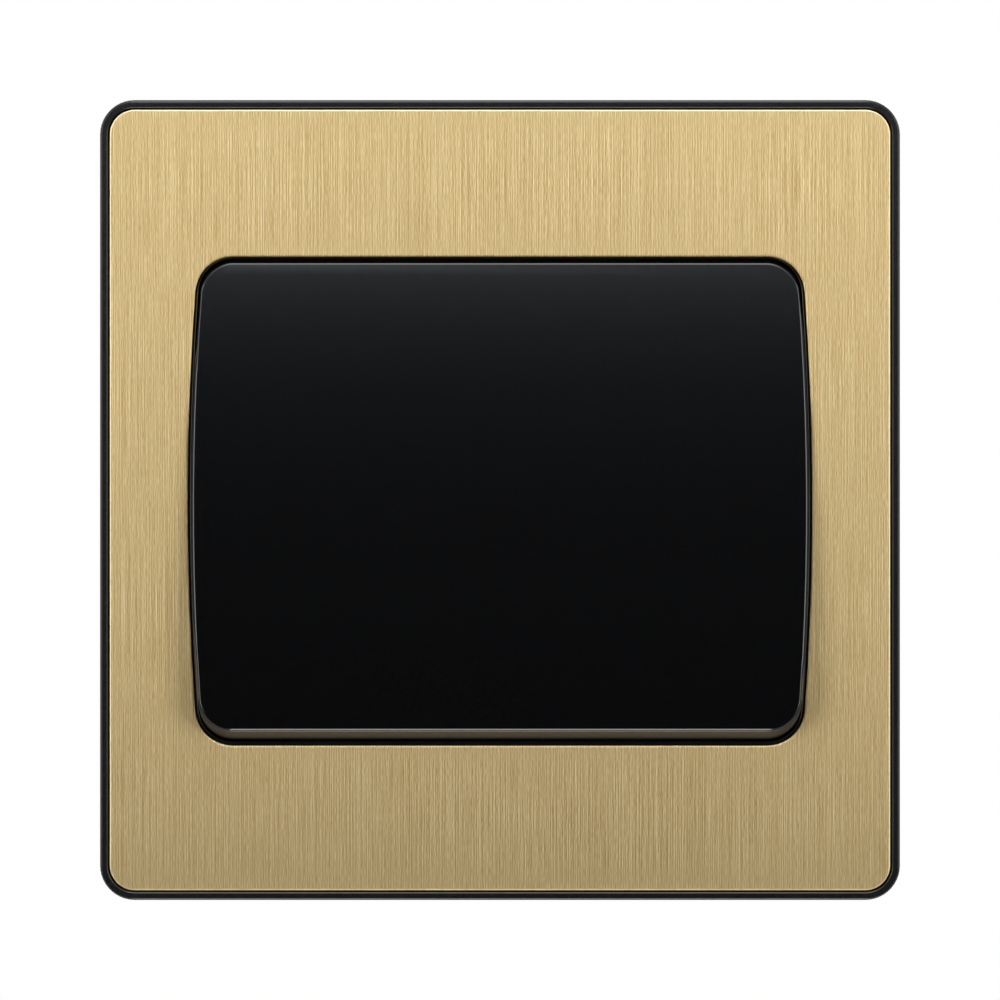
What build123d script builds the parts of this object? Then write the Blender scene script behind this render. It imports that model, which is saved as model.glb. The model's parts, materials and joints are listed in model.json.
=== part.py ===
from build123d import *
import math
import os

# Frame: X right, Z up, front towards -Y. The wall plane is y = 0, the origin is the plate centre.
# All lengths in millimetres, all angles in degrees.

# Front plate and trim frame
plate_size = 95.0
plate_depth = 9.0
outer_corner = 4.1
rim_width = 1.0
rim_gap = 0.18
rim_outer_bevel = 0.25
rim_inner_width = 0.22
rim_inner_depth = 0.08
skirt_bevel = 0.3
sheet_thickness = 1.2
sheet_edge_width = 0.18
sheet_edge_depth = 0.07
floor_thickness = 1.6
skirt_wall = 1.6
wall_relief = 0.3

# Rocker opening
opening_width = 74.2
opening_height = 58.1
opening_bulge = 347.0
opening_corner = 4.5
opening_drop = 0.15
opening_roll_width = 0.25
opening_roll_depth = 0.05
lip_gap = 0.06
lip_width = 0.28
lip_sink = 0.4
collar_wall = 1.3
collar_depth = 1.6

# Stiffening ribs behind the trim frame
trim_rib_pitch = 13.0
trim_rib_width = 1.2
trim_rib_height = 2.0
trim_rib_columns = 6
trim_rib_rows = 4

# Snap hooks between trim frame and mounting frame
hook_x = 26.0
hook_inset = 9.0
hook_width = 6.0
hook_leg = 1.4
hook_barb = 0.9
hook_lead = 0.75
hook_play = 0.15
hook_tip = 0.45
pry_width = 8.0
pry_height = 1.2

# Rocker paddle
pivot_sink = 4.0
rocker_tilt = 5.2
rocker_gap = 0.14
rocker_side_gap = 0.12
rocker_side_draft = 0.8
rocker_face_height = 6.2
rocker_skirt = 0.5
rocker_corner = 4.1
rocker_edge_bevel = 0.4
rocker_wall = 1.6
rocker_face_wall = 1.8
edge_match = 0.3
rocker_rib = 1.2
rocker_rib_sink = 1.4
rocker_rib_x = (16.0, 26.0)
rocker_rib_z = 13.2
pad_width = 4.0
pad_x = 6.0
pad_z = 5.0
clip_x = 5.5
clip_width = 5.0
clip_leg = 1.4
clip_barb = 0.95
clip_play = 0.15
clip_tail = 0.8

# Rocker carrier
carrier_half_width = 9.6
carrier_plate_half = 9.0
carrier_plate = 2.0
carrier_plate_lead = 0.8
carrier_neck_half = 3.6
trunnion_radius = 1.6
trunnion_play = 0.06
trunnion_reach = 2.8
barrel_radius = 3.4
barrel_reach = 7.2
barrel_floor = 0.4
bore_radius = 2.08

# Plunger and its spring
plunger_radius = 2.0
plunger_nose = 0.9
plunger_dome = 1.8
plunger_reach = 9.9
plunger_length = 5.5
spigot_radius = 1.1
spigot_length = 1.5
spring_radius = 1.55
wire_radius = 0.22
wire_sides = 6
spring_turns = 5.0
spring_steps = 10
spring_seat = 0.05

# Moving contact
contact_pivot_y = 6.0
contact_tilt = 9.36
contact_thickness = 1.0
contact_half_length = 10.5
contact_half_width = 2.2
contact_arm = 8.5
contact_groove = 0.7
tip_dome = 4.0
tip_cap = 0.45
tip_tenon = 1.4
tip_gap = 0.1

# Fixed contacts and strips
strip_front = 9.0
strip_thickness = 0.8
strip_width = 4.4
fulcrum_radius = 0.6
fulcrum_half_width = 2.4
fixed_radius = 1.7

# Terminals
terminal_x = 11.0
terminal_width = 8.4
terminal_length = 7.2
terminal_depth = 7.2
terminal_inner_z = 13.6
terminal_bevel = 0.5
wire_radius_in_block = 2.0
wire_axis_depth = 3.4
screw_thread_radius = 1.7
screw_thread_play = 0.05
screw_head_radius = 2.8
screw_head_height = 1.8
screw_backed_out = 0.4
screw_slot_width = 0.9
screw_slot_depth = 0.9

# Mechanism housing
housing_width = 39.0
housing_half_height = 13.4
housing_rear = 13.0
housing_corner = 2.0
housing_bevel = 0.5
chamber_width = 27.0
chamber_half_height = 12.0
row_width = 34.0
row_outer_z = 21.0
row_front = 6.8
row_rear = 19.6
bay_width = 8.8
bay_wall = 2.0
strip_play = 0.05
boss_x = 16.5
boss_hole_radius = 1.35
boss_hole_sides = 6
boss_hole_depth = 10.5

# Mechanism cover
cover_width = 41.0
cover_height = 30.0
cover_flange = 1.4
plug_size = 25.6
cover_window_height = 11.0
cheek_play = 0.4
cheek_thickness = 2.6
cheek_half = 4.2
cheek_crown = 3.2
stop_half_width = 8.0
stop_thickness = 1.6
stop_gap = 0.3
cover_screw_hole = 1.5
cover_screw_radius = 1.25
cover_screw_reach = 9.0
cover_head_radius = 2.6
cover_head_height = 1.6
cover_slot_width = 0.7
cover_slot_depth = 0.8

# Mounting frame
frame_play = 0.7
frame_corner = 1.8
frame_bevel = 0.3
frame_plate = 2.2
frame_rim_wall = 1.8
frame_rim_front = 3.9
frame_seat = 0.5
seat_play = 0.25
aperture_play = 0.2
fixing_spacing = 60.3
fixing_radius = 2.3
fixing_length = 7.0
fixing_recess_half = 4.2
fixing_recess = 0.5
latch_ledge = 1.0
latch_width_play = 0.3
latch_room = 1.3
panel_width = 17.0
panel_height = 25.0
panel_side = 4.2
panel_end = 12.2
panel_depth = 0.9

# Earth strap
strap_thickness = 0.5
strap_width = 5.0
strap_bend = 0.9
strap_drop_z = 22.0
strap_inset = 5.55
strap_finger = 2.8
strap_play = 0.4
strap_frame_y = -0.4
strap_touch = 0.05

# Positions that follow from the sizes above
front_y = -plate_depth
sheet_rear = front_y + sheet_thickness
floor_rear = sheet_rear + floor_thickness
sheet_size = plate_size - 2 * (rim_width + rim_gap)
sheet_corner = outer_corner - rim_width - rim_gap
lip_inset = lip_gap + lip_width
hook_z = plate_size / 2 - hook_inset
frame_size = plate_size - 2 * (skirt_wall + frame_play)
panel_x = frame_size / 2 - panel_side - panel_width / 2
panel_z = frame_size / 2 - panel_end - panel_height / 2
strap_rise_z = opening_height / 2 + strap_inset
pivot_y = front_y + pivot_sink
rocker_radius = opening_height / 2 - lip_inset - rocker_gap
rocker_rear = pivot_y - rocker_skirt
rocker_front = pivot_y - rocker_face_height
rocker_half_width = opening_width / 2 - lip_inset - rocker_side_gap
rocker_inner_face = rocker_front + rocker_face_wall
rocker_rib_rear = rocker_inner_face + rocker_rib_sink
carrier_front = rocker_inner_face + carrier_plate_lead
carrier_rear = carrier_front + carrier_plate
barrel_end = pivot_y + barrel_reach
barrel_bottom = carrier_rear + barrel_floor
plunger_tip = pivot_y + plunger_reach
plunger_front = plunger_tip - plunger_length
strip_rear = strip_front + strip_thickness
terminal_rear = strip_rear + terminal_depth
terminal_z = terminal_inner_z + terminal_length / 2
wire_y = strip_rear + wire_axis_depth
contact_sine = math.sin(math.radians(contact_tilt))
contact_cosine = math.cos(math.radians(contact_tilt))
dome_back = tip_dome - tip_cap
tip_deepest = contact_pivot_y + contact_arm * contact_sine - dome_back * contact_cosine + tip_dome
fixed_front = tip_deepest + tip_gap
fixed_z = contact_arm * contact_cosine + dome_back * contact_sine
cover_front = -frame_plate - cover_flange
tilt_sine = math.sin(math.radians(rocker_tilt))
tilt_cosine = math.cos(math.radians(rocker_tilt))
rib_low = pivot_y + (rocker_rib_rear - pivot_y) * tilt_cosine + rocker_rib_z * tilt_sine
stop_front = rib_low + stop_gap
cheek_inner = carrier_half_width + cheek_play
sides = (-1, 1)


def at_depth(y):
    return Plane.XZ.offset(-y)


def slab(sketch, front, rear):
    return extrude(at_depth(rear) * sketch, rear - front)


def bar(profile, x_from, x_to):
    return extrude(Plane.YZ.offset(x_from) * profile, x_to - x_from)


def block(x_range, y_range, z_range):
    spans = [max(r) - min(r) for r in (x_range, y_range, z_range)]
    centre = [(max(r) + min(r)) / 2 for r in (x_range, y_range, z_range)]
    return Pos(*centre) * Box(*spans)


def rod(x, z, radius, front, rear):
    return slab(Pos(x, z) * Circle(radius), front, rear)


def bulged(inset):
    half_w = opening_width / 2 - inset
    half_h = opening_height / 2 - inset
    bulge = opening_bulge - inset
    corner_w = half_w - bulge + math.sqrt(bulge**2 - half_h**2)
    right = ThreePointArc((corner_w, -half_h), (half_w, 0), (corner_w, half_h))
    left = ThreePointArc((-corner_w, half_h), (-half_w, 0), (-corner_w, -half_h))
    top = Line((corner_w, half_h), (-corner_w, half_h))
    bottom = Line((-corner_w, -half_h), (corner_w, -half_h))
    return make_face([right, top, left, bottom])


def rounded_opening(inset):
    outline = bulged(inset)
    return fillet(outline.vertices(), opening_corner - inset)


def plate_opening(inset):
    return Pos(0, -opening_drop) * rounded_opening(inset)


def tilted(shape, y, angle):
    return Pos(0, y, 0) * Rot(angle, 0, 0) * Pos(0, -y, 0) * shape


def rocker_pose(shape):
    return tilted(shape, pivot_y, -rocker_tilt)


def contact_pose(shape):
    return tilted(shape, contact_pivot_y, contact_tilt)


def front_plate():
    sheet = RectangleRounded(sheet_size, sheet_size, sheet_corner) - plate_opening(0)
    plate = slab(sheet, front_y, sheet_rear)
    face = plate.faces().sort_by(Axis.Y)[0]
    plate = chamfer(face.outer_wire().edges(), sheet_edge_width, sheet_edge_depth, reference=face)
    face = plate.faces().sort_by(Axis.Y)[0]
    return chamfer(face.inner_wires()[0].edges(), opening_roll_width, opening_roll_depth, reference=face)


def trim_ribs():
    collar_x = opening_width / 2 - lip_inset + collar_wall / 2
    collar_z = opening_height / 2 - lip_inset + collar_wall / 2
    skirt = plate_size / 2 - skirt_wall / 2
    rear = floor_rear + trim_rib_height
    half = trim_rib_width / 2
    ribs = []
    for i in range(trim_rib_columns):
        x = (i - (trim_rib_columns - 1) / 2) * trim_rib_pitch
        for s in sides:
            ribs.append(block((x - half, x + half), (floor_rear, rear), (s * collar_z, s * skirt)))
    for i in range(trim_rib_rows):
        z = (i - (trim_rib_rows - 1) / 2) * trim_rib_pitch
        for s in sides:
            ribs.append(block((s * collar_x, s * skirt), (floor_rear, rear), (z - half, z + half)))
    return ribs


def snap_hook(sx, sz):
    root = floor_rear
    ledge = -frame_plate + latch_ledge + hook_play
    outer = hook_z + hook_leg / 2
    inner = hook_z - hook_leg / 2
    points = [
        (root, inner),
        (-hook_tip, inner),
        (-hook_tip, outer + hook_barb - hook_lead),
        (ledge, outer + hook_barb),
        (ledge, outer),
        (root, outer),
    ]
    profile = make_face(Polyline(*[(y, sz * z) for y, z in points], close=True))
    x = sx * hook_x
    return bar(profile, x - hook_width / 2, x + hook_width / 2)


def trim_frame():
    outline = RectangleRounded(plate_size, plate_size, outer_corner)
    body = slab(outline, front_y, -wall_relief)
    body = chamfer(body.faces().sort_by(Axis.Y)[0].edges(), rim_outer_bevel)
    body = chamfer(body.faces().sort_by(Axis.Y)[-1].edges(), skirt_bevel)
    recess_size = sheet_size + 2 * rim_gap
    body -= slab(RectangleRounded(recess_size, recess_size, sheet_corner + rim_gap), front_y, sheet_rear)
    rim = body.faces().sort_by(Axis.Y)[0]
    body = chamfer(rim.inner_wires()[0].edges(), rim_inner_width, rim_inner_depth, reference=rim)
    hollow = plate_size - 2 * skirt_wall
    body -= slab(RectangleRounded(hollow, hollow, outer_corner - skirt_wall), floor_rear, -wall_relief)
    clear = rounded_opening(lip_inset)
    body -= slab(clear, front_y, floor_rear)
    body += slab(plate_opening(lip_gap) - clear, front_y + lip_sink, sheet_rear)
    body += slab(bulged(lip_inset - collar_wall) - clear, floor_rear, floor_rear + collar_depth)
    for rib in trim_ribs():
        body += rib
    for sx in sides:
        for sz in sides:
            body += snap_hook(sx, sz)
    pry_z = (-plate_size / 2, -plate_size / 2 + skirt_wall)
    body -= block((-pry_width / 2, pry_width / 2), (-wall_relief - pry_height, -wall_relief), pry_z)
    window_z = (-strap_rise_z - strap_thickness - strap_play, -strap_rise_z + strap_finger + strap_play)
    body -= block(strap_span(strap_play), (sheet_rear, floor_rear), window_z)
    return body


def strap_span(play):
    half = strap_width / 2 + play
    return (terminal_x - half, terminal_x + half)


def mounting_frame():
    body = slab(RectangleRounded(frame_size, frame_size, frame_corner), -frame_rim_front, 0)
    body = chamfer(body.faces().sort_by(Axis.Y)[-1].edges(), frame_bevel)
    tray = frame_size - 2 * frame_rim_wall
    body -= slab(Rectangle(tray, tray), -frame_rim_front, -frame_plate)
    aperture = plug_size + 2 * aperture_play
    body -= slab(Rectangle(aperture, aperture), -frame_plate, 0)
    seat_w = housing_width + 2 * seat_play
    seat_h = 2 * (housing_half_height + seat_play)
    body -= slab(Rectangle(seat_w, seat_h), -frame_seat, 0)
    for s in sides:
        x = s * fixing_spacing / 2
        body -= slab(Pos(x, 0) * SlotOverall(fixing_length, 2 * fixing_radius), -frame_plate, 0)
        seat = Pos(x, 0) * Rectangle(2 * fixing_recess_half, 2 * fixing_recess_half)
        body -= slab(seat, -frame_plate, fixing_recess - frame_plate)
        body -= rod(s * boss_x, 0, cover_screw_hole, -frame_plate, 0)
    half = hook_width / 2 + latch_width_play
    for sx in sides:
        for sz in sides:
            x_span = (sx * hook_x - half, sx * hook_x + half)
            inner = sz * (hook_z - hook_leg / 2 - latch_room)
            outer = sz * (hook_z + hook_leg / 2 + hook_play)
            behind = sz * (hook_z + hook_leg / 2 + hook_barb + latch_width_play)
            body -= block(x_span, (-frame_plate, 0), (inner, outer))
            body -= block(x_span, (latch_ledge - frame_plate, 0), (inner, behind))
            panel = Pos(sx * panel_x, sz * panel_z) * Rectangle(panel_width, panel_height)
            body -= slab(panel, -panel_depth, 0)
    channel_front = strap_frame_y - strap_thickness / 2 - strap_touch
    channel_z = (-strap_rise_z - strap_thickness - strap_play, -strap_drop_z + strap_thickness + strap_play)
    body -= block(strap_span(strap_play), (channel_front, 0), channel_z)
    slot_z = (-strap_rise_z - strap_thickness - strap_play, -strap_rise_z + strap_thickness + strap_play)
    body -= block(strap_span(strap_play), (-frame_plate, 0), slot_z)
    return body


def paddle_form(half_width, radius, front, rear):
    rear_bulge = opening_bulge - opening_width / 2 + half_width
    front_bulge = rear_bulge - (rear - front) * math.tan(math.radians(rocker_side_draft))
    cone = Rot(90, 0, 0) * Cone(rear_bulge, front_bulge, rear - front)
    centre = rear_bulge - half_width
    sides_form = Pos(-centre, (front + rear) / 2, 0) * cone & Pos(centre, (front + rear) / 2, 0) * cone
    front_z = math.sqrt(radius**2 - (front - pivot_y) ** 2)
    rear_z = math.sqrt(radius**2 - (rear - pivot_y) ** 2)
    mid_y = (front + rear) / 2
    mid_z = math.sqrt(radius**2 - (mid_y - pivot_y) ** 2)
    top = ThreePointArc((front, front_z), (mid_y, mid_z), (rear, rear_z))
    bottom = ThreePointArc((front, -front_z), (mid_y, -mid_z), (rear, -rear_z))
    face = Line((front, front_z), (front, -front_z))
    back = Line((rear, rear_z), (rear, -rear_z))
    profile = make_face([top, back, bottom, face])
    return bar(profile, -opening_width / 2, opening_width / 2) & sides_form


def upright(edge, front, rear):
    ends = sorted(v.Y for v in edge.vertices())
    return len(ends) == 2 and abs(ends[0] - front) < edge_match and abs(ends[1] - rear) < edge_match


def clip_hook(sx, sz):
    inner = carrier_plate_half + clip_play
    outer = inner + clip_leg
    tail = carrier_rear + clip_play + clip_tail
    points = [
        (rocker_inner_face, inner),
        (carrier_rear + clip_play, inner),
        (carrier_rear + clip_play, inner - clip_barb),
        (tail, inner),
        (tail, outer),
        (rocker_inner_face, outer),
    ]
    profile = make_face(Polyline(*[(y, sz * z) for y, z in points], close=True))
    x = sx * clip_x
    return bar(profile, x - clip_width / 2, x + clip_width / 2)


def rocker_paddle():
    outer = paddle_form(rocker_half_width, rocker_radius, rocker_front, rocker_rear)
    outer = fillet([e for e in outer.edges() if upright(e, rocker_front, rocker_rear)], rocker_corner)
    outer = chamfer(outer.faces().sort_by(Axis.Y)[0].edges(), rocker_edge_bevel)
    inner_width = rocker_half_width - rocker_wall
    inner_radius = rocker_radius - rocker_wall
    inner = paddle_form(inner_width, inner_radius, rocker_inner_face, rocker_rear)
    ribs = []
    half = rocker_rib / 2
    rib_y = (rocker_inner_face, rocker_rib_rear)
    reach_z = (-rocker_radius, rocker_radius)
    reach_x = (-rocker_half_width, rocker_half_width)
    for s in sides:
        for x in rocker_rib_x:
            ribs.append(block((s * x - half, s * x + half), rib_y, reach_z))
        ribs.append(block(reach_x, rib_y, (s * rocker_rib_z - half, s * rocker_rib_z + half)))
    shell = outer - inner
    for rib in ribs:
        shell += rib & inner
    for sx in sides:
        for sz in sides:
            x_span = (sx * pad_x - pad_width / 2, sx * pad_x + pad_width / 2)
            z_span = (sz * pad_z - pad_width / 2, sz * pad_z + pad_width / 2)
            shell += block(x_span, (rocker_inner_face, carrier_front), z_span)
            shell += clip_hook(sx, sz)
    return rocker_pose(shell)


def rocker_carrier():
    half = carrier_half_width
    plate_z = (-carrier_plate_half, carrier_plate_half)
    body = block((-half, half), (carrier_front, carrier_rear), plate_z)
    neck = block((-half, half), (carrier_rear, pivot_y), (-carrier_neck_half, carrier_neck_half))
    heel = bar(Pos(pivot_y, 0) * Circle(carrier_neck_half), -half, half)
    body += neck + heel
    body += rod(0, 0, barrel_radius, carrier_rear, barrel_end)
    reach = half + trunnion_reach
    body += bar(Pos(pivot_y, 0) * Circle(trunnion_radius), -reach, reach)
    body -= rod(0, 0, bore_radius, barrel_bottom, barrel_end)
    return rocker_pose(body)


def plunger():
    nose_y = plunger_tip - plunger_dome + math.sqrt(plunger_dome**2 - plunger_nose**2)
    body = rod(0, 0, plunger_radius, plunger_front, nose_y)
    body = chamfer(body.faces().sort_by(Axis.Y)[-1].edges(), plunger_radius - plunger_nose)
    ball = Pos(0, plunger_tip - plunger_dome, 0) * Sphere(plunger_dome)
    body += ball & rod(0, 0, plunger_nose, nose_y, plunger_tip)
    body += rod(0, 0, spigot_radius, plunger_front - spigot_length, plunger_front)
    return rocker_pose(body)


def plunger_spring():
    first = barrel_bottom + wire_radius + spring_seat
    height = plunger_front - wire_radius - spring_seat - first
    steps = round(spring_turns * spring_steps)
    points = []
    for i in range(steps + 1):
        turn = math.radians(360 * i / spring_steps)
        x = spring_radius * math.cos(turn)
        z = spring_radius * math.sin(turn)
        points.append((x, first + height * i / steps, z))
    path = Polyline(*points)
    section = Plane(path @ 0, z_dir=path % 0) * RegularPolygon(wire_radius, wire_sides)
    return rocker_pose(sweep(section, path, transition=Transition.RIGHT))


def tenon(z, front, rear):
    return slab(Pos(0, z) * Rectangle(tip_tenon, tip_tenon), front, rear)


def moving_contact():
    front = contact_pivot_y - contact_thickness
    body = slab(Rectangle(2 * contact_half_width, 2 * contact_half_length), front, contact_pivot_y)
    reach = contact_half_width + fulcrum_radius
    body -= bar(Pos(contact_pivot_y, 0) * Circle(contact_groove), -reach, reach)
    for s in sides:
        body -= tenon(s * contact_arm, front, contact_pivot_y)
    return contact_pose(body)


def moving_contact_rivets():
    front = contact_pivot_y - contact_thickness
    rivets = []
    for s in sides:
        ball = Pos(0, contact_pivot_y - dome_back, s * contact_arm) * Sphere(tip_dome)
        cap = ball & rod(0, s * contact_arm, tip_dome, contact_pivot_y, contact_pivot_y + tip_cap)
        rivets.append(contact_pose(cap + tenon(s * contact_arm, front, contact_pivot_y)))
    return rivets


def strip_run(points):
    half = strip_width / 2
    run = None
    for (x0, z0), (x1, z1) in zip(points, points[1:]):
        x_span = (min(x0, x1) - half, max(x0, x1) + half)
        z_span = (min(z0, z1) - half, max(z0, z1) + half)
        leg = block(x_span, (strip_front, strip_rear), z_span)
        run = leg if run is None else run + leg
    return run


def common_strip():
    tail = terminal_z + terminal_length / 2 - strip_width / 2
    body = strip_run([(0, 0), (-terminal_x, 0), (-terminal_x, -tail)])
    blade_z = (-fulcrum_radius, fulcrum_radius)
    half = fulcrum_half_width
    body += block((-half, half), (contact_pivot_y, strip_front), blade_z)
    body += bar(Pos(contact_pivot_y, 0) * Circle(fulcrum_radius), -half, half)
    return body


def outlet_strip(z, x):
    tail = terminal_z + terminal_length / 2 - strip_width / 2
    body = strip_run([(0, z), (x, z), (x, tail)])
    return body - tenon(z, strip_front, strip_rear)


def fixed_contact_rivets():
    rivets = []
    for s in sides:
        head = rod(0, s * fixed_z, fixed_radius, fixed_front, strip_front)
        rivets.append(head + tenon(s * fixed_z, strip_front, strip_rear))
    return rivets


def terminal_block(sx, sz):
    x = sx * terminal_x
    x_span = (x - terminal_width / 2, x + terminal_width / 2)
    z_span = (sz * terminal_inner_z, sz * (terminal_inner_z + terminal_length))
    body = block(x_span, (strip_rear, terminal_rear), z_span)
    body = chamfer(body.edges().filter_by(Axis.Z), terminal_bevel)
    wire_hole = Pos(x, wire_y, sz * terminal_z) * Cylinder(wire_radius_in_block, terminal_length)
    body -= wire_hole
    return body - rod(x, sz * terminal_z, screw_thread_radius + screw_thread_play, wire_y, terminal_rear)


def terminal_screws():
    tip = wire_y + wire_radius_in_block
    seat = terminal_rear + screw_backed_out
    top = seat + screw_head_height
    screws = []
    for sx in sides:
        for sz in sides:
            x = sx * terminal_x
            z = sz * terminal_z
            head = rod(x, z, screw_head_radius, seat, top)
            slot_x = (x - screw_head_radius, x + screw_head_radius)
            slot_z = (z - screw_slot_width / 2, z + screw_slot_width / 2)
            head -= block(slot_x, (top - screw_slot_depth, top), slot_z)
            screws.append(head + rod(x, z, screw_thread_radius, tip, seat))
    return screws


def mechanism_housing():
    outline = RectangleRounded(housing_width, 2 * housing_half_height, housing_corner)
    body = slab(outline, -frame_seat, housing_rear)
    body = chamfer(body.faces().sort_by(Axis.Y)[-1].edges(), housing_bevel)
    row_z = (chamber_half_height, row_outer_z)
    for sz in sides:
        row = block((-row_width / 2, row_width / 2), (row_front, row_rear), (sz * row_z[0], sz * row_z[1]))
        row = chamfer(row.edges().filter_by(Axis.Y), housing_bevel)
        body += chamfer(row.faces().sort_by(Axis.Y)[-1].edges(), housing_bevel)
    inner_wall = terminal_x - bay_width / 2
    for sz in sides:
        open_z = (sz * housing_half_height, sz * row_outer_z)
        core = inner_wall - bay_wall
        body -= block((-core, core), (strip_front, row_rear), open_z)
        for sx in sides:
            x_span = (sx * inner_wall, sx * (inner_wall + bay_width))
            body -= block(x_span, (strip_front, row_rear), open_z)
    body -= slab(Rectangle(chamber_width, 2 * chamber_half_height), -frame_seat, strip_rear)
    slot_half = strip_width / 2 + strip_play
    for sx, sz in ((-1, -1), (-1, 1), (1, 1)):
        slot_x = (sx * terminal_x - slot_half, sx * terminal_x + slot_half)
        slot_z = (sz * chamber_half_height, sz * (housing_half_height + strip_play))
        body -= block(slot_x, (strip_front - strip_play, strip_rear), slot_z)
    for s in sides:
        core = Pos(s * boss_x, 0) * RegularPolygon(boss_hole_radius, boss_hole_sides, major_radius=False)
        body -= slab(core, -frame_seat, boss_hole_depth)
    return body


def mechanism_cover():
    body = slab(Rectangle(cover_width, cover_height), cover_front, -frame_plate)
    body += slab(Rectangle(plug_size, plug_size), -frame_plate, -frame_seat)
    window = Rectangle(2 * cheek_inner, cover_window_height)
    body -= slab(window, cover_front, -frame_seat)
    profile = Pos((cover_front + pivot_y) / 2, 0) * Rectangle(cover_front - pivot_y, 2 * cheek_half)
    profile += Pos(pivot_y, 0) * Circle(cheek_crown)
    bearing = Pos(pivot_y, 0) * Circle(trunnion_radius + trunnion_play)
    for s in sides:
        cheek = (s * cheek_inner, s * (cheek_inner + cheek_thickness))
        body += bar(profile, *cheek)
        body -= bar(bearing, *cheek)
        stop_z = (s * rocker_rib_z - stop_thickness / 2, s * rocker_rib_z + stop_thickness / 2)
        body += block((-stop_half_width, stop_half_width), (stop_front, cover_front), stop_z)
        body -= rod(s * boss_x, 0, cover_screw_hole, cover_front, -frame_plate)
    return body


def cover_screws():
    top = cover_front - cover_head_height
    half_slot = cover_slot_width / 2
    screws = []
    for s in sides:
        x = s * boss_x
        head = rod(x, 0, cover_head_radius, top, cover_front)
        slot_x = (x - cover_head_radius, x + cover_head_radius)
        head -= block(slot_x, (top, top + cover_slot_depth), (-half_slot, half_slot))
        screws.append(head + rod(x, 0, cover_screw_radius, cover_front, cover_screw_reach))
    return screws


def earth_strap():
    under_block = strip_rear - strap_thickness / 2
    at_sheet = sheet_rear + strap_touch + strap_thickness / 2
    points = [
        (under_block, -terminal_inner_z - strap_bend),
        (under_block, -strap_drop_z),
        (strap_frame_y, -strap_drop_z),
        (strap_frame_y, -strap_rise_z),
        (at_sheet, -strap_rise_z),
        (at_sheet, -strap_rise_z + strap_finger),
    ]
    path = FilletPolyline(*points, radius=strap_bend)
    return bar(trace(path, strap_thickness), *strap_span(0))


nodes = {
    "front_plate": front_plate(),
    "trim_frame": trim_frame(),
    "mounting_frame": mounting_frame(),
    "mechanism_cover": mechanism_cover(),
    "cover_screws": cover_screws(),
    "mechanism_housing": mechanism_housing(),
    "rocker_paddle": rocker_paddle(),
    "rocker_carrier": rocker_carrier(),
    "plunger": plunger(),
    "plunger_spring": plunger_spring(),
    "moving_contact": moving_contact(),
    "moving_contact_rivets": moving_contact_rivets(),
    "common_strip": common_strip(),
    "l1_strip": outlet_strip(fixed_z, -terminal_x),
    "l2_strip": outlet_strip(-fixed_z, terminal_x),
    "fixed_contact_rivets": fixed_contact_rivets(),
    "common_terminal": terminal_block(-1, -1),
    "l1_terminal": terminal_block(-1, 1),
    "l2_terminal": terminal_block(1, 1),
    "earth_terminal": terminal_block(1, -1),
    "terminal_screws": terminal_screws(),
    "earth_strap": earth_strap(),
}

os.makedirs("parts", exist_ok=True)
for name, shape in nodes.items():
    solids = shape if isinstance(shape, list) else [shape]
    bodies = [s for item in solids for s in item.solids()]
    export_step(bodies[0] if len(bodies) == 1 else Compound(bodies), f"parts/{name}.step")
    print(name, len(bodies), round(sum(b.volume for b in bodies), 2))
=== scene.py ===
import json
import math

import bmesh
import bpy
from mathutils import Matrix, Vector

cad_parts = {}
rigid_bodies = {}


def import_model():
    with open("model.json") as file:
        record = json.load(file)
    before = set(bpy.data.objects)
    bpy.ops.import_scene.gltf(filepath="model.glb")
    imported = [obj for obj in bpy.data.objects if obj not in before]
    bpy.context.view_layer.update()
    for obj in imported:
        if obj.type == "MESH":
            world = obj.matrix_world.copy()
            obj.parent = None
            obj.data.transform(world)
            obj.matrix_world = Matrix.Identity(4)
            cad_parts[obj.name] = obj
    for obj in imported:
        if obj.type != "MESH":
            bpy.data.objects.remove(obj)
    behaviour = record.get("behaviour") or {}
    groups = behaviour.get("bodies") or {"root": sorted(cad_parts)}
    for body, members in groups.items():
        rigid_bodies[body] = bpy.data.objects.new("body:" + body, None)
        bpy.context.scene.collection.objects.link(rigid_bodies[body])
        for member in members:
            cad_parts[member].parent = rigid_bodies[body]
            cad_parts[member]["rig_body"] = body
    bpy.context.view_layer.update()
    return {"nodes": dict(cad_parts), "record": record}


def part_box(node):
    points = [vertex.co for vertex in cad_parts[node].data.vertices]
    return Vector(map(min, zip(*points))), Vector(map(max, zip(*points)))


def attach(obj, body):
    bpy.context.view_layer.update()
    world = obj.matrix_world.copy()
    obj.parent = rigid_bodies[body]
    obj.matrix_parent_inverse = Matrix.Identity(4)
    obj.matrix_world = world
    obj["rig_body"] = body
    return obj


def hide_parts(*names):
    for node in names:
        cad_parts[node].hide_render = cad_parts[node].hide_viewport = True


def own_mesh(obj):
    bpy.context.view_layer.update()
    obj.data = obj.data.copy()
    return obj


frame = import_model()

scene = bpy.context.scene
mm = 0.001
plateLow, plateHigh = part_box("front_plate")
trimLow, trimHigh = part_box("trim_frame")
plateSize = trimHigh.x - trimLow.x
plateFront = plateLow.y
noiseLow, noiseHigh = 0.3, 0.7  # most of a noise lies between
facing = -0.5  # a front face or its edge has a normal with less than this along Y
shadeAngle = {"moulding": 38, "roundedEdge": 50, "screw": 30, "coil": 60}  # sharper edges stay hard


def setInput(node, name, value):
    node.inputs[name].default_value = value


def addNode(tree, kind, settings=None, **inputs):
    node = tree.nodes.new(kind)
    for key, value in (settings or {}).items():
        setattr(node, key, value)
    for key, value in inputs.items():
        setInput(node, key, value)
    return node


def join(tree, source, target):
    tree.links.new(source, target)


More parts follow.
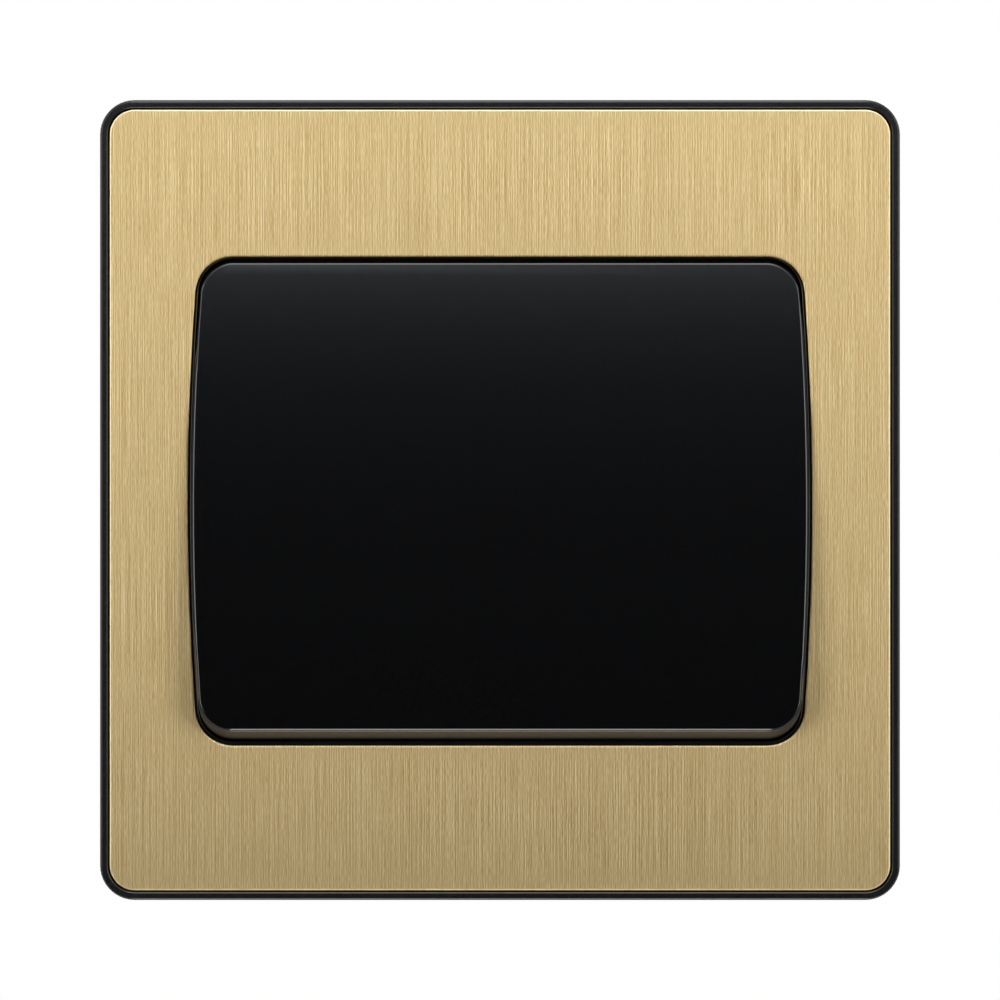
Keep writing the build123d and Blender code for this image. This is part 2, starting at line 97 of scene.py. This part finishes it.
def mathStep(tree, operation, first, second):
    step = addNode(tree, "ShaderNodeMath", {"operation": operation})
    for socket, value in zip(step.inputs, (first, second)):
        if isinstance(value, (int, float)):
            socket.default_value = value
        else:
            join(tree, value, socket)
    return step.outputs["Value"]


def newFinish(name, **values):
    material = bpy.data.materials.new(name)
    material.use_nodes = True
    shader = material.node_tree.nodes["Principled BSDF"]
    for key, value in values.items():
        setInput(shader, key, value)
    return material, material.node_tree, shader


def objectNoise(tree, stretch, detail=3.0, roughness=0.55, shift=(0, 0, 0)):
    place = addNode(tree, "ShaderNodeTexCoord")
    mapping = addNode(tree, "ShaderNodeMapping", Scale=stretch, Location=shift)
    noise = addNode(tree, "ShaderNodeTexNoise", Scale=1.0, Detail=detail, Roughness=roughness)
    join(tree, place.outputs["Object"], mapping.inputs["Vector"])
    join(tree, mapping.outputs["Vector"], noise.inputs["Vector"])
    return noise.outputs["Fac"]


def toneRamp(tree, factor, low, high, lowAt=noiseLow, highAt=noiseHigh):
    ramp = addNode(tree, "ShaderNodeValToRGB")
    ramp.color_ramp.elements[0].position = lowAt
    ramp.color_ramp.elements[0].color = (*low, 1)
    ramp.color_ramp.elements[1].position = highAt
    ramp.color_ramp.elements[1].color = (*high, 1)
    join(tree, factor, ramp.inputs["Fac"])
    return ramp.outputs["Color"]


def spread(tree, factor, low, high):
    change = addNode(tree, "ShaderNodeMapRange")
    setInput(change, "From Min", noiseLow)
    setInput(change, "From Max", noiseHigh)
    setInput(change, "To Min", low)
    setInput(change, "To Max", high)
    join(tree, factor, change.inputs["Value"])
    return change.outputs["Result"]


def addBump(tree, shader, height, strength, distance):
    bump = addNode(tree, "ShaderNodeBump", Strength=strength, Distance=distance)
    join(tree, height, bump.inputs["Height"])
    join(tree, bump.outputs["Normal"], shader.inputs["Normal"])


brassFinish = {
    "dark": (0.507, 0.358, 0.149),
    "light": (0.827, 0.706, 0.439),
    "roughLow": 0.34,
    "roughHigh": 0.42,
    "anisotropic": 0.75,
    "pitch": 12000,  # brush lines in a metre
    "runs": ((40, 0.39), (200, 0.34), (1100, 0.27)),  # long, middling and short strokes, and shares
    "beside": 1.4,  # from a line's painted lit side to its painted shaded side, in lines
    "shade": 0.45,  # how much painted shade the shaded side takes from the colour
    "lowAt": 0.388,  # streak with the dark tone
    "highAt": 0.715,  # streak with the light tone
    "bump": 0.06,
    "depth": 0.02 * mm,
}


def brushedBrass():
    s = brassFinish
    material, tree, shader = newFinish("brushedBrass", Metallic=1.0, Anisotropic=s["anisotropic"])
    streak = s["shade"] / 2  # keeps the middle tone
    for run, share in s["runs"]:  # the shift by run gives each its own lines
        stretch = (s["pitch"], s["pitch"], run)
        # each stroke paints a lit side and, beside it, a painted shaded side into the brass colour
        lit = objectNoise(tree, stretch, detail=0.0, shift=(run, 0, 0))
        paintedShade = objectNoise(tree, stretch, detail=0.0, shift=(run + s["beside"], 0, 0))
        stroke = mathStep(tree, "SUBTRACT", lit, mathStep(tree, "MULTIPLY", paintedShade, s["shade"]))
        streak = mathStep(tree, "ADD", streak, mathStep(tree, "MULTIPLY", stroke, share))
    tone = toneRamp(tree, streak, s["dark"], s["light"], s["lowAt"], s["highAt"])
    join(tree, tone, shader.inputs["Base Color"])
    join(tree, spread(tree, streak, s["roughLow"], s["roughHigh"]), shader.inputs["Roughness"])
    addBump(tree, shader, streak, s["bump"], s["depth"])
    along = addNode(tree, "ShaderNodeTangent", {"direction_type": "UV_MAP", "uv_map": "brushing"})
    join(tree, along.outputs["Tangent"], shader.inputs["Tangent"])
    return material


glossFinish = {
    "deep": (0.0012, 0.0012, 0.0014),
    "lift": (0.0018, 0.0018, 0.0021),
    "sheen": (0.90, 0.96, 1.0, 1),
    "roughLow": 0.095,
    "roughHigh": 0.105,
    "ripple": (1800, 1800, 1800),
    "bump": 0.004,
    "depth": 0.01 * mm,
}


def glossBlack():
    s = glossFinish
    material, tree, shader = newFinish("glossBlack")
    setInput(shader, "Specular Tint", s["sheen"])
    ripple = objectNoise(tree, s["ripple"], detail=2.0)
    join(tree, toneRamp(tree, ripple, s["deep"], s["lift"]), shader.inputs["Base Color"])
    join(tree, spread(tree, ripple, s["roughLow"], s["roughHigh"]), shader.inputs["Roughness"])
    addBump(tree, shader, ripple, s["bump"], s["depth"])
    return material


mouldedDepth = 0.03 * mm  # of every moulding's grain
satinFinish = {
    "deep": (0.0035, 0.0033, 0.0034),
    "lift": (0.0055, 0.0052, 0.0053),
    "roughLow": 0.22,
    "roughHigh": 0.27,
    "grain": (2500, 2500, 2500),
    "bump": 0.08,
}
# the rocker's walls: satin black plastic, with a warm tint that paints in the brass plate's reflection
wallSatinPaintedBrass = {
    "deep": (0.0065, 0.0054, 0.0028),
    "lift": (0.0095, 0.0080, 0.0042),
    "roughLow": 0.60,
    "roughHigh": 0.66,
    "grain": (2500, 2500, 2500),
    "bump": 0.05,
}
textureFinish = {
    "deep": (0.016, 0.016, 0.017),
    "lift": (0.028, 0.028, 0.029),
    "roughLow": 0.5,
    "roughHigh": 0.65,
    "grain": (3200, 3200, 3200),
    "bump": 0.25,
}
thermosetFinish = {
    "deep": (0.66, 0.64, 0.58),
    "lift": (0.76, 0.74, 0.69),
    "roughLow": 0.42,
    "roughHigh": 0.55,
    "grain": (1800, 1800, 1800),
    "bump": 0.12,
}
nylonFinish = {
    "deep": (0.70, 0.67, 0.57),
    "lift": (0.80, 0.77, 0.68),
    "roughLow": 0.35,
    "roughHigh": 0.45,
    "grain": (900, 900, 900),
    "bump": 0.05,
}


def mouldedPlastic(name, s):
    material, tree, shader = newFinish(name)
    grain = objectNoise(tree, s["grain"])
    join(tree, toneRamp(tree, grain, s["deep"], s["lift"]), shader.inputs["Base Color"])
    join(tree, spread(tree, grain, s["roughLow"], s["roughHigh"]), shader.inputs["Roughness"])
    addBump(tree, shader, grain, s["bump"], mouldedDepth)
    return material


metalSurface = {"roughLow": 0.25, "roughHigh": 0.42, "bump": 0.08, "depth": 0.02 * mm}  # usual values
zincFinish = {"deep": (0.50, 0.50, 0.49), "lift": (0.68, 0.68, 0.66), "grain": (900, 900, 900)}
copperFinish = {"deep": (0.66, 0.39, 0.21), "lift": (0.73, 0.45, 0.255), "grain": (4500, 4500, 400)}
terminalFinish = {"deep": (0.64, 0.475, 0.205), "lift": (0.70, 0.53, 0.245), "grain": (4500, 4500, 500)}
silverFinish = {"deep": (0.74, 0.73, 0.70), "lift": (0.84, 0.83, 0.81), "grain": (1500, 1500, 1500)}
# bare cut brass, paler than the brushed face, and partly a painted highlight for the edge's bright line
cutAndHighlightFinish = {"deep": (0.62, 0.50, 0.28), "lift": (0.76, 0.63, 0.38), "grain": (2500, 2500, 2500),
             "roughLow": 0.42, "roughHigh": 0.52}
springFinish = {"deep": (0.42, 0.42, 0.42), "lift": (0.58, 0.58, 0.57), "grain": (1500, 1500, 1500)}


def bareMetal(name, finish):
    s = {**metalSurface, **finish}
    material, tree, shader = newFinish(name, Metallic=1.0)
    grain = objectNoise(tree, s["grain"], detail=4.0)
    join(tree, toneRamp(tree, grain, s["deep"], s["lift"]), shader.inputs["Base Color"])
    join(tree, spread(tree, grain, s["roughLow"], s["roughHigh"]), shader.inputs["Roughness"])
    addBump(tree, shader, grain, s["bump"], s["depth"])
    return material


finishes = {
    "brushed_brass": brushedBrass(),
    "gloss_black_plastic": glossBlack(),
    "black_satin_plastic": mouldedPlastic("satinBlack", satinFinish),
    "black_matte_plastic": mouldedPlastic("textureBlack", textureFinish),
    "pale_thermoset": mouldedPlastic("paleThermoset", thermosetFinish),
    "natural_nylon": mouldedPlastic("naturalNylon", nylonFinish),
    "zinc_steel": bareMetal("zincSteel", zincFinish),
    "copper_alloy": bareMetal("copperStrip", copperFinish),
    "terminal_brass": bareMetal("terminalBrass", terminalFinish),
    "silver_contact": bareMetal("silverTip", silverFinish),
    "spring_steel": bareMetal("springWire", springFinish),
}
cutBrassAndHighlight = bareMetal("cutBrassAndHighlight", cutAndHighlightFinish)
satinWallPaintedBrass = mouldedPlastic("satinWallPaintedBrass", wallSatinPaintedBrass)
print("finishes ready:", len(finishes))


innerLip = {
    "sink": 0.4 * mm,  # below the sheet's face
    "fall": 0.075 * mm,  # how far its sides slope down toward the sheet
    "match": 0.01 * mm,
    "upright": 0.3,  # a wall's normal has less than this along Y
}


def slopeLip(shape):
    s = innerLip
    shape.normal_update()
    for spot in shape.verts:
        if abs(spot.co.y - plateFront - s["sink"]) < s["match"]:
            side = math.copysign(1, spot.co.x)
            walls = [face.normal.x * side for face in spot.link_faces
                     if abs(face.normal.y) < s["upright"]]
            spot.co.y += s["fall"] * max(0, 2 * max(walls, default=0) - 1)


def cleanCopy(nodeName, flatAngle=0.4, weldGap=0.0005 * mm):
    mesh = frame["nodes"][nodeName].data.copy()
    shape = bmesh.new()
    shape.from_mesh(mesh)
    bmesh.ops.remove_doubles(shape, verts=shape.verts, dist=weldGap)
    if nodeName == "trim_frame":
        slopeLip(shape)
    bmesh.ops.dissolve_limit(
        shape, angle_limit=math.radians(flatAngle), verts=shape.verts, edges=shape.edges
    )
    shape.to_mesh(mesh)
    shape.free()
    return mesh


def brushingMap(mesh):
    layer = mesh.uv_layers.new(name="brushing")
    for loop in mesh.loops:
        spot = mesh.vertices[loop.vertex_index].co
        layer.data[loop.index].uv = (spot.x / plateSize, spot.z / plateSize)


# gives the rocker's walls satin black plastic with a painted brass reflection in its colour
def satinPaintedBrassWalls(mesh):
    mesh.materials.append(satinWallPaintedBrass)
    for face in mesh.polygons:
        if face.normal.y > facing:
            face.material_index = 1


shearedEdge = {"flat": -0.99, "band": 1.0 * mm}  # Y of a flat front's normal, width that is searched


# gives the sheet's outer cut edge a paler tone: bare cut brass and partly a painted highlight
def cutEdgeAndPaintedHighlight(mesh):
    s = shearedEdge
    mesh.materials.append(cutBrassAndHighlight)
    for face in mesh.polygons:
        reach = max(abs(face.center.x), abs(face.center.z))
        if s["flat"] < face.normal.y < facing and reach > plateHigh.x - s["band"]:
            face.material_index = 1


def finishMesh(mesh, slotName, sharpAngle):
    mesh.shade_smooth()
    mesh.set_sharp_from_angle(angle=math.radians(sharpAngle))
    rough = bpy.data.objects.new("shadingWork", mesh)
    scene.collection.objects.link(rough)
    weight = rough.modifiers.new("evenShading", "WEIGHTED_NORMAL")
    weight.keep_sharp = True
    graph = bpy.context.evaluated_depsgraph_get()
    finished = bpy.data.meshes.new_from_object(rough.evaluated_get(graph))
    bpy.data.objects.remove(rough)
    finished.materials.clear()
    finished.materials.append(finishes[slotName])
    if slotName == "brushed_brass":
        brushingMap(finished)
        cutEdgeAndPaintedHighlight(finished)
    if slotName == "gloss_black_plastic":
        satinPaintedBrassWalls(finished)
    return finished


def placePiece(mesh, nodeName):
    piece = bpy.data.objects.new(nodeName + "_dressed", mesh)
    scene.collection.objects.link(piece)
    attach(piece, frame["nodes"][nodeName]["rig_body"])
    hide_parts(nodeName)
    return piece


def newTree(name, inputs):
    tree = bpy.data.node_groups.new(name, "GeometryNodeTree")
    tree.interface.new_socket("Geometry", in_out="INPUT", socket_type="NodeSocketGeometry")
    tree.interface.new_socket("Geometry", in_out="OUTPUT", socket_type="NodeSocketGeometry")
    for label, kind in inputs.items():
        tree.interface.new_socket(label, in_out="INPUT", socket_type="NodeSocket" + kind)
    start = tree.nodes.new("NodeGroupInput")
    end = tree.nodes.new("NodeGroupOutput")
    return tree, start, end


def growMesh(tree, points, values):
    base = bpy.data.meshes.new(tree.name + "Points")
    base.from_pydata(points, [], [])
    maker = bpy.data.objects.new(tree.name + "Maker", base)
    scene.collection.objects.link(maker)
    grow = maker.modifiers.new("grow", "NODES")
    grow.node_group = tree
    for item in tree.interface.items_tree:
        if item.in_out == "INPUT" and item.name in values:
            grow[item.identifier] = values[item.name]
    graph = bpy.context.evaluated_depsgraph_get()
    mesh = bpy.data.meshes.new_from_object(maker.evaluated_get(graph))
    bpy.data.objects.remove(maker)
    return mesh


def movedAlongZ(tree, geometry, height):
    place = addNode(tree, "ShaderNodeCombineXYZ")
    join(tree, height, place.inputs["Z"])
    moved = addNode(tree, "GeometryNodeTransform")
    join(tree, geometry, moved.inputs["Geometry"])
    join(tree, place.outputs["Vector"], moved.inputs["Translation"])
    return moved.outputs["Geometry"]


def roundBar(tree, radius, depth, sides):
    bar = addNode(tree, "GeometryNodeMeshCylinder", Vertices=sides)
    join(tree, radius, bar.inputs["Radius"])
    join(tree, depth, bar.inputs["Depth"])
    return bar


def copyToPoints(tree, shape, start, end):
    copies = addNode(tree, "GeometryNodeInstanceOnPoints")
    join(tree, start.outputs["Geometry"], copies.inputs["Points"])
    join(tree, shape, copies.inputs["Instance"])
    join(tree, start.outputs["Turn"], copies.inputs["Rotation"])
    real = addNode(tree, "GeometryNodeRealizeInstances")
    join(tree, copies.outputs["Instances"], real.inputs["Geometry"])
    painted = addNode(tree, "GeometryNodeSetMaterial")
    join(tree, real.outputs["Geometry"], painted.inputs["Geometry"])
    join(tree, start.outputs["Material"], painted.inputs["Material"])
    join(tree, painted.outputs["Geometry"], end.inputs["Geometry"])


def bevelledHead(tree, size):
    wall = mathStep(tree, "SUBTRACT", size["Head Height"], size["Edge Bevel"])
    head = roundBar(tree, size["Head Radius"], wall, sides=48)
    lift = addNode(tree, "GeometryNodeExtrudeMesh")
    join(tree, head.outputs["Mesh"], lift.inputs["Mesh"])
    join(tree, head.outputs["Top"], lift.inputs["Selection"])
    join(tree, size["Edge Bevel"], lift.inputs["Offset Scale"])
    shrink = addNode(tree, "GeometryNodeScaleElements")
    inner = mathStep(tree, "SUBTRACT", size["Head Radius"], size["Edge Bevel"])
    join(tree, lift.outputs["Mesh"], shrink.inputs["Geometry"])
    join(tree, lift.outputs["Top"], shrink.inputs["Selection"])
    join(tree, mathStep(tree, "DIVIDE", inner, size["Head Radius"]), shrink.inputs["Scale"])
    return movedAlongZ(tree, shrink.outputs["Geometry"], mathStep(tree, "MULTIPLY", wall, 0.5))


def slotCutter(tree, size):
    cutSize = addNode(tree, "ShaderNodeCombineXYZ")
    length = mathStep(tree, "MULTIPLY", size["Head Radius"], 3.0)  # past both sides of the head
    join(tree, length, cutSize.inputs["X"])
    join(tree, size["Slot Width"], cutSize.inputs["Y"])
    join(tree, mathStep(tree, "MULTIPLY", size["Slot Depth"], 2.0), cutSize.inputs["Z"])  # half is above
    cutter = addNode(tree, "GeometryNodeMeshCube")
    join(tree, cutSize.outputs["Vector"], cutter.inputs["Size"])
    return movedAlongZ(tree, cutter.outputs["Mesh"], size["Head Height"])


def slottedScrewTree():
    tree, start, end = newTree("slottedScrew", {
        "Head Radius": "Float", "Head Height": "Float", "Edge Bevel": "Float",
        "Slot Width": "Float", "Slot Depth": "Float",
        "Shank Radius": "Float", "Shank Length": "Float",
        "Turn": "Rotation", "Material": "Material",
    })
    size = start.outputs
    slotted = addNode(tree, "GeometryNodeMeshBoolean", {"operation": "DIFFERENCE", "solver": "EXACT"})
    join(tree, bevelledHead(tree, size), slotted.inputs["Mesh 1"])
    join(tree, slotCutter(tree, size), slotted.inputs["Mesh 2"])
    shank = roundBar(tree, size["Shank Radius"], size["Shank Length"], sides=32)
    middle = mathStep(tree, "MULTIPLY", size["Shank Length"], -0.5)
    whole = addNode(tree, "GeometryNodeJoinGeometry")
    join(tree, slotted.outputs["Mesh"], whole.inputs["Geometry"])
    join(tree, movedAlongZ(tree, shank.outputs["Mesh"], middle), whole.inputs["Geometry"])
    copyToPoints(tree, whole.outputs["Geometry"], start, end)
    return tree


terminalScrew = {
    "headRadius": 2.8 * mm,
    "headHeight": 1.8 * mm,
    "bevel": 0.25 * mm,
    "slotWidth": 0.9 * mm,
    "slotDepth": 0.9 * mm,
    "shankRadius": 1.7 * mm,
    "turn": (math.radians(-90), 0, 0),  # heads to the rear
}
coverScrew = {
    "headRadius": 2.6 * mm,
    "headHeight": 1.6 * mm,
    "bevel": 0.3 * mm,
    "slotWidth": 0.7 * mm,
    "slotDepth": 0.8 * mm,
    "shankRadius": 1.25 * mm,
    "turn": (math.radians(90), 0, 0),  # heads to the front
}


def addScrews(tree, nodeName, slotName, s):
    low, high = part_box(nodeName)
    reach = s["headRadius"]
    towardRear = s["turn"][0] < 0
    seat = high.y - s["headHeight"] if towardRear else low.y + s["headHeight"]
    shank = seat - low.y if towardRear else high.y - seat
    columns = {round(low.x + reach, 6), round(high.x - reach, 6)}
    rows = {round(low.z + reach, 6), round(high.z - reach, 6)}
    spots = [(x, seat, z) for x in sorted(columns) for z in sorted(rows)]
    mesh = growMesh(tree, spots, {
        "Head Radius": s["headRadius"], "Head Height": s["headHeight"], "Edge Bevel": s["bevel"],
        "Slot Width": s["slotWidth"], "Slot Depth": s["slotDepth"],
        "Shank Radius": s["shankRadius"], "Shank Length": shank,
        "Turn": s["turn"], "Material": finishes[slotName],
    })
    placePiece(finishMesh(mesh, slotName, shadeAngle["screw"]), nodeName)
    print(nodeName, "made at", len(spots), "points")


springCoil = {
    "turns": 5.0,
    "radius": 1.55 * mm,
    "wire": 0.22 * mm,
    "steps": 28,  # points in each turn
    "sides": 12,  # of the wire's section
    "tilt": math.radians(-5.2),
    "give": 0.8 * mm,  # how far the plunger presses it
}


def coilTree():
    tree, start, end = newTree("springCoil", {
        "Turns": "Float", "Steps": "Int", "Radius": "Float", "Height": "Float", "Wire": "Float",
        "Turn": "Rotation", "Material": "Material",
    })
    size = start.outputs
    coil = addNode(tree, "GeometryNodeCurveSpiral")
    for label, socket in (("Turns", "Rotations"), ("Steps", "Resolution"), ("Height", "Height")):
        join(tree, size[label], coil.inputs[socket])
    for socket in ("Start Radius", "End Radius"):
        join(tree, size["Radius"], coil.inputs[socket])
    ring = addNode(tree, "GeometryNodeCurvePrimitiveCircle", Resolution=springCoil["sides"])
    join(tree, size["Wire"], ring.inputs["Radius"])
    wire = addNode(tree, "GeometryNodeCurveToMesh")
    join(tree, coil.outputs["Curve"], wire.inputs["Curve"])
    join(tree, ring.outputs["Curve"], wire.inputs["Profile Curve"])
    setInput(wire, "Fill Caps", True)
    copyToPoints(tree, wire.outputs["Mesh"], start, end)
    return tree


def addSpring():
    s = springCoil
    low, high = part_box("plunger_spring")
    tilt = s["tilt"]
    along = Vector((0, math.cos(tilt), math.sin(tilt)))  # from the barrel floor to the plunger
    middle = (low + high) / 2
    height = (high.y - low.y - 2 * (s["radius"] * abs(math.sin(tilt)) + s["wire"])) / math.cos(tilt)
    foot = middle - along * height / 2
    mesh = growMesh(coilTree(), [tuple(foot)], {
        "Turns": s["turns"], "Steps": s["steps"], "Radius": s["radius"], "Height": height,
        "Wire": s["wire"], "Turn": (math.radians(-90) + tilt, 0, 0),
        "Material": finishes["spring_steel"],
    })
    coil = finishMesh(mesh, "spring_steel", shadeAngle["coil"])
    piece = placePiece(coil, "plunger_spring")
    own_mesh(piece)
    print("spring coil", round(height / mm, 2), "mm high")


ownMakers = ("terminal_screws", "cover_screws", "plunger_spring")
roundedEdges = ("trim_frame", "rocker_paddle")  # their bevels shade as rounded edges
for entry in frame["record"]["subparts"]:
    if entry["node"] not in ownMakers:
        sharp = shadeAngle["roundedEdge" if entry["node"] in roundedEdges else "moulding"]
        mesh = finishMesh(cleanCopy(entry["node"]), entry["material_slot"], sharp)
        placePiece(mesh, entry["node"])
screwTree = slottedScrewTree()
addScrews(screwTree, "terminal_screws", "zinc_steel", terminalScrew)
addScrews(screwTree, "cover_screws", "zinc_steel", coverScrew)
addSpring()

cameraSet = {
    "distance": 0.8,  # from the plate's face
    "sensor": 36.0,
    "plateShare": 0.8001,  # share of the picture that the plate spans
}


def addCamera():
    s = cameraSet
    data = bpy.data.cameras.new("frontCamera")
    data.sensor_width = s["sensor"]
    data.lens = s["distance"] * s["sensor"] * s["plateShare"] / plateSize
    camera = bpy.data.objects.new("frontCamera", data)
    camera.location = (0, plateFront - s["distance"], 0)
    camera.rotation_euler = (math.radians(90), 0, 0)
    scene.collection.objects.link(camera)
    scene.camera = camera


lampSet = [  # bearing and rise in degrees as seen from the plate, glow is brightness
    {"name": "softTop", "bearing": 0, "rise": 35.2, "away": 1.0, "size": (0.5, 0.74), "glow": 4.2,
     "color": (0.97, 0.99, 1.0)},
    {"name": "softLeft", "bearing": -38, "rise": 9, "away": 1.0, "size": (0.44, 0.54), "glow": 4.6,
     "color": (1.0, 0.97, 0.90)},
    {"name": "softRight", "bearing": 38, "rise": 9, "away": 1.0, "size": (0.44, 0.54), "glow": 4.8,
     "color": (1.0, 0.97, 0.90)},
    {"name": "cardAbove", "bearing": 0, "rise": 64, "away": 0.9, "size": (0.3, 0.26), "glow": 7.0,
     "color": (1.0, 1.0, 1.0)},
    {"name": "cardBelow", "bearing": 0, "rise": -60, "away": 0.9, "size": (0.3, 0.36), "glow": 9.5,
     "color": (1.0, 1.0, 1.0)},
]


def addLamps():
    for s in lampSet:
        data = bpy.data.lights.new(s["name"], "AREA")
        data.shape = "RECTANGLE"
        data.size, data.size_y = s["size"]
        data.energy = s["glow"] * math.pi * data.size * data.size_y
        data.color = s["color"]
        bearing = math.radians(s["bearing"])
        rise = math.radians(s["rise"])
        level = math.cos(rise)
        toward = Vector((math.sin(bearing) * level, -math.cos(bearing) * level, math.sin(rise)))
        lamp = bpy.data.objects.new(s["name"], data)
        lamp.location = toward * s["away"]
        lamp.rotation_euler = (-toward).to_track_quat("-Z", "Y").to_euler()
        scene.collection.objects.link(lamp)


worldSet = {  # places run from the camera's side, 0, to the backdrop, 1
    "stops": ((0.0, 0.012), (0.08, 0.015), (0.17, 0.34), (0.47, 0.55), (0.6, 0.9)),  # place, brightness
    "backdrop": (0.47, 0.6),  # where shiny surfaces start to see the white, and see it fully
}


def addWorld():
    s = worldSet
    world = bpy.data.worlds.new("studio")
    world.use_nodes = True
    scene.world = world
    tree = world.node_tree
    back = tree.nodes["Background"]
    setInput(back, "Color", (1, 1, 1, 1))
    path = addNode(tree, "ShaderNodeLightPath")
    place = addNode(tree, "ShaderNodeTexCoord")
    parts = addNode(tree, "ShaderNodeSeparateXYZ")
    join(tree, place.outputs["Generated"], parts.inputs["Vector"])
    share = addNode(tree, "ShaderNodeMapRange")
    setInput(share, "From Min", -1.0)
    join(tree, parts.outputs["Y"], share.inputs["Value"])
    ramp = addNode(tree, "ShaderNodeValToRGB")
    join(tree, share.outputs["Result"], ramp.inputs["Fac"])
    stops = ramp.color_ramp.elements
    stops[1].position, last = s["stops"][-1]
    stops[1].color = (last, last, last, 1)
    first = s["stops"][0][1]
    stops[0].color = (first, first, first, 1)
    for spot, gray in s["stops"][1:-1]:
        stops.new(spot).color = (gray, gray, gray, 1)
    behind = addNode(tree, "ShaderNodeMapRange")
    for key, edge in zip(("From Min", "From Max"), s["backdrop"]):
        setInput(behind, key, edge)
    join(tree, share.outputs["Result"], behind.inputs["Value"])
    shiny = mathStep(tree, "MAXIMUM", path.outputs["Is Glossy Ray"], path.outputs["Is Transmission Ray"])
    mirrored = mathStep(tree, "MULTIPLY", shiny, behind.outputs["Result"])
    white = mathStep(tree, "MAXIMUM", path.outputs["Is Camera Ray"], mirrored)
    level = addNode(tree, "ShaderNodeMix", {"data_type": "FLOAT"}, B=1.0)
    join(tree, white, level.inputs["Factor"])
    join(tree, ramp.outputs["Color"], level.inputs["A"])
    join(tree, level.outputs["Result"], back.inputs["Strength"])


floorSet = {
    "drop": 0.3,
    "half": 1.6,
    "front": -0.06,
    "rear": 2.4,
    "color": (0.86, 0.86, 0.86, 1),
}


def addFloor():
    s = floorSet
    low = -s["drop"]
    half = s["half"]
    mesh = bpy.data.meshes.new("floor")
    corners = [(x, y, low) for x, y in
               ((-half, s["front"]), (half, s["front"]), (half, s["rear"]), (-half, s["rear"]))]
    mesh.from_pydata(corners, [], [(0, 1, 2, 3)])
    material, _, shader = newFinish("paleFloor", Roughness=0.9)
    setInput(shader, "Base Color", s["color"])
    mesh.materials.append(material)
    floor = bpy.data.objects.new("floor", mesh)
    scene.collection.objects.link(floor)


addCamera()
addLamps()
addWorld()
addFloor()
scene.view_settings.view_transform = "Standard"
print("stage ready")
